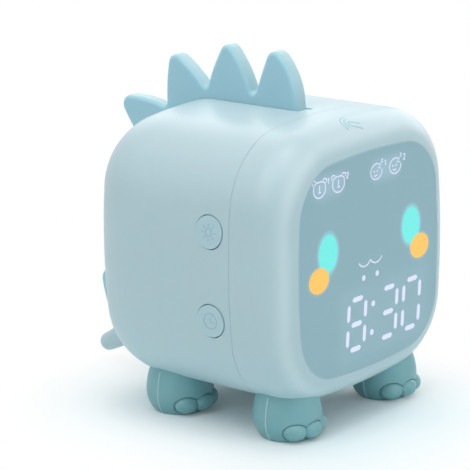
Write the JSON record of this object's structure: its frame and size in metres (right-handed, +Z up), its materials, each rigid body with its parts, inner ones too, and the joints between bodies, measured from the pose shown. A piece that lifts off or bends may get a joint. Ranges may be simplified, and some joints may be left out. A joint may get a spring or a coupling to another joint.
{
  "type": "kids alarm clock with night light",
  "caption": "Dinosaur-shaped cube alarm clock with a lit face and time display, a glowing spiked crest and tail, side buttons and soft toed feet.",
  "frame": {"origin": "on the table, under the middle of the whole object's box", "axes": "+Z up, the face looks along -Y, the tail points along +Y, +X is to the right seen from in front of the face"},
  "size_m": [0.0964, 0.1203, 0.1209],
  "materials": {
    "shell": "satin pale blue ABS",
    "crest": "frosted translucent silicone",
    "lens": "tinted semi-gloss acrylic",
    "eye_light": "lit cyan diffuser",
    "cheek_light": "lit orange diffuser",
    "snout_light": "lit white diffuser",
    "segment_light": "lit white diffuser",
    "white_plastic": "moulded",
    "light_chip": "phosphor",
    "circuit_board": "solder mask",
    "strip_board": "white solder mask",
    "black_plastic": "moulded",
    "steel": "zinc plated",
    "paper_cone": "pressed paper",
    "battery_wrap": "foil wrap",
    "foam": "soft foam",
    "copper": "copper foil",
    "button": "satin",
    "lead": "PVC insulation",
    "plunger": "moulded",
    "foot": "satin soft PVC"
  },
  "bodies": {
    "clock": {"battery": "battery_wrap", "battery_pad": "foam", "board_chips": "black_plastic", "board_sockets": "white_plastic", "case_screws": "steel", "channel_screws": "steel", "charge_board": "circuit_board", "charge_board_screws": "steel", "cheek_windows": "cheek_light", "crest_leds": "light_chip", "crest_light_channel": "white_plastic", "crest_light_strip": "strip_board", "display_leds": "light_chip", "display_lens": "lens", "eye_windows": "eye_light", "foot_front_left": "foot", "foot_front_right": "foot", "foot_rear_left": "foot", "foot_rear_right": "foot", "foot_screws": "steel", "front_shell": "shell", "key_board_left": "circuit_board", "key_board_right": "circuit_board", "key_board_screws": "steel", "key_switches_left": "black_plastic", "key_switches_right": "black_plastic", "leads": "lead", "light_block": "white_plastic", "lit_segments": "segment_light", "main_board": "circuit_board", "main_board_screws": "steel", "night_light_crest": "crest", "rear_shell": "shell", "snout_windows": "snout_light", "speaker_cone": "paper_cone", "speaker_frame": "steel", "speaker_magnet": "steel", "touch_pad": "copper", "unlit_segments": "lens", "usb_socket": "steel"},
    "key_left_lower": {"button_left_lower": "button", "plunger_left_lower": "plunger"},
    "key_left_upper": {"button_left_upper": "button", "plunger_left_upper": "plunger"},
    "key_right_lower": {"button_right_lower": "button", "plunger_right_lower": "plunger"},
    "key_right_upper": {"button_right_upper": "button", "plunger_right_upper": "plunger"}
  },
  "joints": [
    {"name": "press_left_lower", "type": "slide", "parent": "clock", "child": "key_left_lower", "axis": [1, 0, 0], "range_m": [0, 0.0005], "stiffness_N_per_m": 3500},
    {"name": "press_left_upper", "type": "slide", "parent": "clock", "child": "key_left_upper", "axis": [1, 0, 0], "range_m": [0, 0.0005], "stiffness_N_per_m": 3500},
    {"name": "press_right_lower", "type": "slide", "parent": "clock", "child": "key_right_lower", "axis": [-1, 0, 0], "range_m": [0, 0.0005], "stiffness_N_per_m": 3500},
    {"name": "press_right_upper", "type": "slide", "parent": "clock", "child": "key_right_upper", "axis": [-1, 0, 0], "range_m": [0, 0.0005], "stiffness_N_per_m": 3500}
  ]
}
